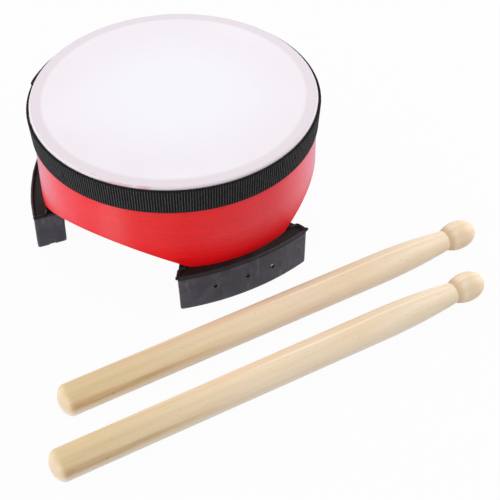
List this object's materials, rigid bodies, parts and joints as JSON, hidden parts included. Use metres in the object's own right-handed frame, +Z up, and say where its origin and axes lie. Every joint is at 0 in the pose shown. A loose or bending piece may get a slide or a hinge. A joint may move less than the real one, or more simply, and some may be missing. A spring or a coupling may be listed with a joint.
{
  "type": "floor drum with beaters",
  "caption": "Small round floor drum: bent plywood shell with arched lower edge on curved rubber feet, white head held by black webbing, and turned wooden beaters lying beside it.",
  "frame": {"origin": "middle of the footprint of the whole set, at floor level", "axes": "+Z up, square to the floor and along the drum's axis; +Y away from the viewer of the picture, +X to that viewer's right; the beaters lie in front of the drum, tips towards +X"},
  "size_m": [0.3148, 0.369, 0.1006],
  "materials": {
    "shell": "red stained and satin lacquered",
    "drumhead": "matt synthetic skin, white",
    "webbing": "ribbed black webbing",
    "staples": "galvanised wire",
    "feet": "matt black rubber",
    "screws": "blackened steel",
    "beaters": "pale turned maple, clear satin"
  },
  "bodies": {
    "drum": {"shell": "shell", "drumhead": "drumhead", "rim_webbing": "webbing", "head_staples": "staples", "foot_front": "feet", "foot_screws_front": "screws", "foot_rear": "feet", "foot_screws_rear": "screws", "foot_left": "feet", "foot_screws_left": "screws"},
    "beater_front": {"beater_front": "beaters"},
    "beater_rear": {"beater_rear": "beaters"}
  },
  "joints": [
    {"name": "beater_front_lift", "type": "slide", "parent": "drum", "child": "beater_front", "axis": [0, 0, 1], "range_m": [0, 0.12]},
    {"name": "beater_rear_lift", "type": "slide", "parent": "drum", "child": "beater_rear", "axis": [0, 0, 1], "range_m": [0, 0.12]}
  ]
}
